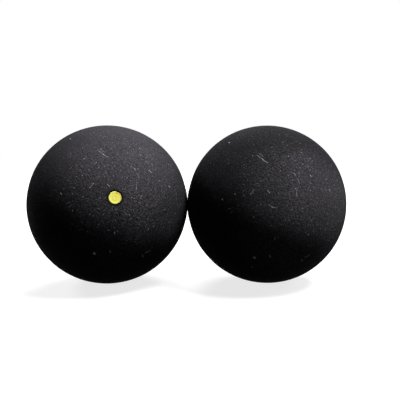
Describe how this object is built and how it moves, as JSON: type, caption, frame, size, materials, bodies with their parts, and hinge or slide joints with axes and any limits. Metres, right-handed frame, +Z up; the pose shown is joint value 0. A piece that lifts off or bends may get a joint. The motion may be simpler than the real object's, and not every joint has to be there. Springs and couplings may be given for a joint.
{
  "type": "squash ball pair",
  "caption": "Matt black hollow rubber squash balls side by side, each of cemented half shells, with a small yellow paint dot in a shallow seat.",
  "frame": {"origin": "on the table, below the place where the two balls meet", "axes": "+X from the first ball to the second, +Y away from the viewer of the picture, +Z up"},
  "size_m": [0.08, 0.04, 0.04],
  "materials": {
    "rubber": "buffed matt, with fine pale scuffs",
    "cement": "cured rubber cement, satin",
    "dot_paint": "flat yellow paint"
  },
  "bodies": {
    "ball_1": {"ball_1_dotted_half": "rubber", "ball_1_plain_half": "rubber", "ball_1_seam_cement": "cement", "ball_1_yellow_dot": "dot_paint"},
    "ball_2": {"ball_2_dotted_half": "rubber", "ball_2_plain_half": "rubber", "ball_2_seam_cement": "cement", "ball_2_yellow_dot": "dot_paint"}
  },
  "joints": [
    {"name": "ball_2_roll_away", "type": "slide", "parent": "ball_1", "child": "ball_2", "axis": [1, 0, 0], "range_m": [0, 0.08]}
  ]
}
